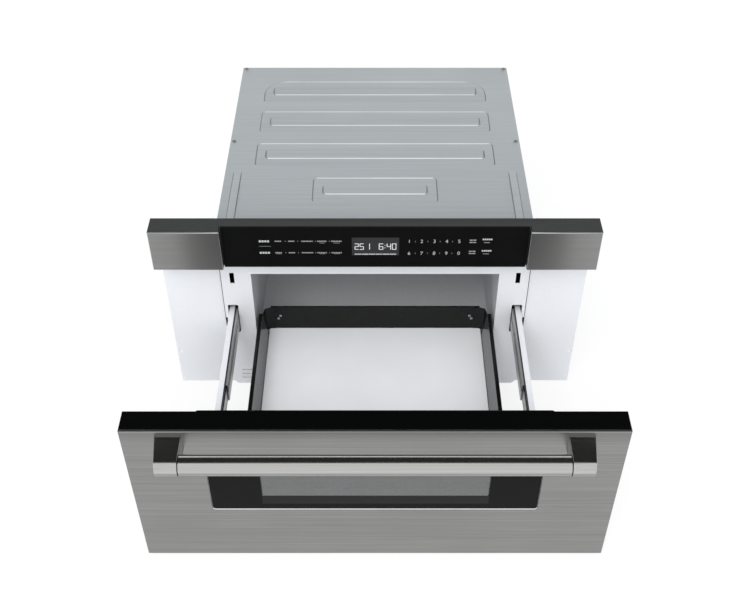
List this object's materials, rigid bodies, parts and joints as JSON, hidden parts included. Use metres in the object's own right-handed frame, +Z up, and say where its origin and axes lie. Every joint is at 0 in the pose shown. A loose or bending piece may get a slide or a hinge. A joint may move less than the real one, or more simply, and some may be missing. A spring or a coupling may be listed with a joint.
{
  "type": "microwave drawer",
  "caption": "Built-in microwave drawer with a stainless door, bar handle and slanted glass control panel, drawn with its drawer run out on telescopic slides.",
  "frame": {"origin": "mid-width, in the plane of the cabinet's face, at the underside of the base", "axes": "+X to the user's right, +Y back into the cabinet, +Z up; stored with the drawer run out"},
  "size_m": [0.76, 0.9951, 0.4073],
  "materials": {
    "stainless": "fine horizontal brushing",
    "galvanised": "satin zinc coat with faint streaks",
    "white_enamel": "satin",
    "grey_enamel": "gloss enamel",
    "dark_enamel": "satin",
    "black_plastic": "fine grain",
    "dark_cap": "satin",
    "control_glass": "polished, printed behind",
    "window_glass": "polished, dark printed border",
    "tray_glass": "polished, white",
    "perforated_steel": "satin, perforated",
    "circuit_board": "printed board",
    "rail_steel": "zinc plated, drawn",
    "cage_steel": "bright",
    "pale_plastic": "satin",
    "steel_core": "laminated, varnished",
    "screw_steel": "bright zinc"
  },
  "bodies": {
    "casing": {"base_plate": "galvanised", "left_side_panel": "galvanised", "right_side_panel": "galvanised", "rear_panel": "galvanised", "top_cover": "galvanised", "front_plate": "white_enamel", "left_side_flange": "white_enamel", "right_side_flange": "white_enamel", "cord_bush": "black_plastic", "case_screws": "screw_steel", "cavity_liner": "grey_enamel", "cavity_ceiling": "grey_enamel", "stirrer_cover": "pale_plastic", "waveguide": "galvanised", "stirrer_motor": "pale_plastic", "magnetron": "rail_steel", "transformer": "steel_core", "fan_housing": "galvanised", "fan_motor": "steel_core", "panel_housing": "dark_cap", "left_panel_wing": "stainless", "right_panel_wing": "stainless", "control_glass": "control_glass", "control_board": "circuit_board", "left_rail_fixed": "rail_steel", "right_rail_fixed": "rail_steel", "rail_brackets": "galvanised", "drive_motor": "steel_core", "interlock_housings": "black_plastic"},
    "drawer": {"door_skin": "stainless", "door_frame": "black_plastic", "door_inner_plate": "dark_enamel", "window_glass": "window_glass", "window_screen": "perforated_steel", "handle_bar": "stainless", "handle_posts": "stainless", "tray_left_wall": "dark_enamel", "tray_right_wall": "dark_enamel", "tray_rear_wall": "dark_enamel", "tray_corner_brackets": "dark_enamel", "tray_base": "dark_enamel", "tray_glass": "tray_glass", "left_arm": "white_enamel", "right_arm": "white_enamel", "left_rail_inner": "rail_steel", "right_rail_inner": "rail_steel", "drive_rack": "pale_plastic", "interlock_prongs": "black_plastic", "drawer_screws": "screw_steel"},
    "left_rail_middle": {"left_rail_middle": "rail_steel"},
    "right_rail_middle": {"right_rail_middle": "rail_steel"},
    "left_outer_ball_cage": {"left_outer_ball_cage": "cage_steel"},
    "right_outer_ball_cage": {"right_outer_ball_cage": "cage_steel"},
    "left_inner_ball_cage": {"left_inner_ball_cage": "cage_steel"},
    "right_inner_ball_cage": {"right_inner_ball_cage": "cage_steel"},
    "drive_pinion": {"drive_pinion": "pale_plastic"},
    "fan_wheel": {"fan_wheel": "black_plastic"},
    "stirrer": {"stirrer": "cage_steel"},
    "left_interlock_plunger": {"left_interlock_plunger": "pale_plastic"},
    "right_interlock_plunger": {"right_interlock_plunger": "pale_plastic"}
  },
  "joints": [
    {"name": "drawer_slide", "type": "slide", "parent": "casing", "child": "drawer", "axis": [0, 1, 0], "range_m": [0, 0.347]},
    {"name": "left_rail_middle_slide", "type": "slide", "parent": "casing", "child": "left_rail_middle", "axis": [0, 1, 0], "range_m": [0, 0.182]},
    {"name": "left_outer_cage_slide", "type": "slide", "parent": "casing", "child": "left_outer_ball_cage", "axis": [0, 1, 0], "range_m": [0, 0.091]},
    {"name": "left_inner_cage_slide", "type": "slide", "parent": "left_rail_middle", "child": "left_inner_ball_cage", "axis": [0, 1, 0], "range_m": [0, 0.0825]},
    {"name": "left_interlock_press", "type": "slide", "parent": "casing", "child": "left_interlock_plunger", "axis": [0, 1, 0], "range_m": [0, 0.0015], "stiffness_N_per_m": 200},
    {"name": "right_rail_middle_slide", "type": "slide", "parent": "casing", "child": "right_rail_middle", "axis": [0, 1, 0], "range_m": [0, 0.182]},
    {"name": "right_outer_cage_slide", "type": "slide", "parent": "casing", "child": "right_outer_ball_cage", "axis": [0, 1, 0], "range_m": [0, 0.091]},
    {"name": "right_inner_cage_slide", "type": "slide", "parent": "right_rail_middle", "child": "right_inner_ball_cage", "axis": [0, 1, 0], "range_m": [0, 0.0825]},
    {"name": "right_interlock_press", "type": "slide", "parent": "casing", "child": "right_interlock_plunger", "axis": [0, 1, 0], "range_m": [0, 0.0015], "stiffness_N_per_m": 200},
    {"name": "pinion_spin", "type": "hinge", "parent": "casing", "child": "drive_pinion", "pos_m": [0.25665, 0.022, 0.1218], "axis": [1, 0, 0], "range_deg": [-1660, 0]},
    {"name": "fan_spin", "type": "hinge", "parent": "casing", "child": "fan_wheel", "pos_m": [-0.142, 0.4762, 0.165], "axis": [1, 0, 0], "continuous": true},
    {"name": "stirrer_spin", "type": "hinge", "parent": "casing", "child": "stirrer", "pos_m": [0, 0.205, 0.284], "axis": [0, 0, 1], "continuous": true}
  ],
  "couplings": [
    {"joint": "left_rail_middle_slide", "follows": "drawer_slide", "ratio": 0.5245},
    {"joint": "left_outer_cage_slide", "follows": "drawer_slide", "ratio": 0.26225},
    {"joint": "left_inner_cage_slide", "follows": "drawer_slide", "ratio": 0.23775},
    {"joint": "right_rail_middle_slide", "follows": "drawer_slide", "ratio": 0.5245},
    {"joint": "right_outer_cage_slide", "follows": "drawer_slide", "ratio": 0.26225},
    {"joint": "right_inner_cage_slide", "follows": "drawer_slide", "ratio": 0.23775},
    {"joint": "pinion_spin", "follows": "drawer_slide", "rad_per_m": -83.333}
  ]
}
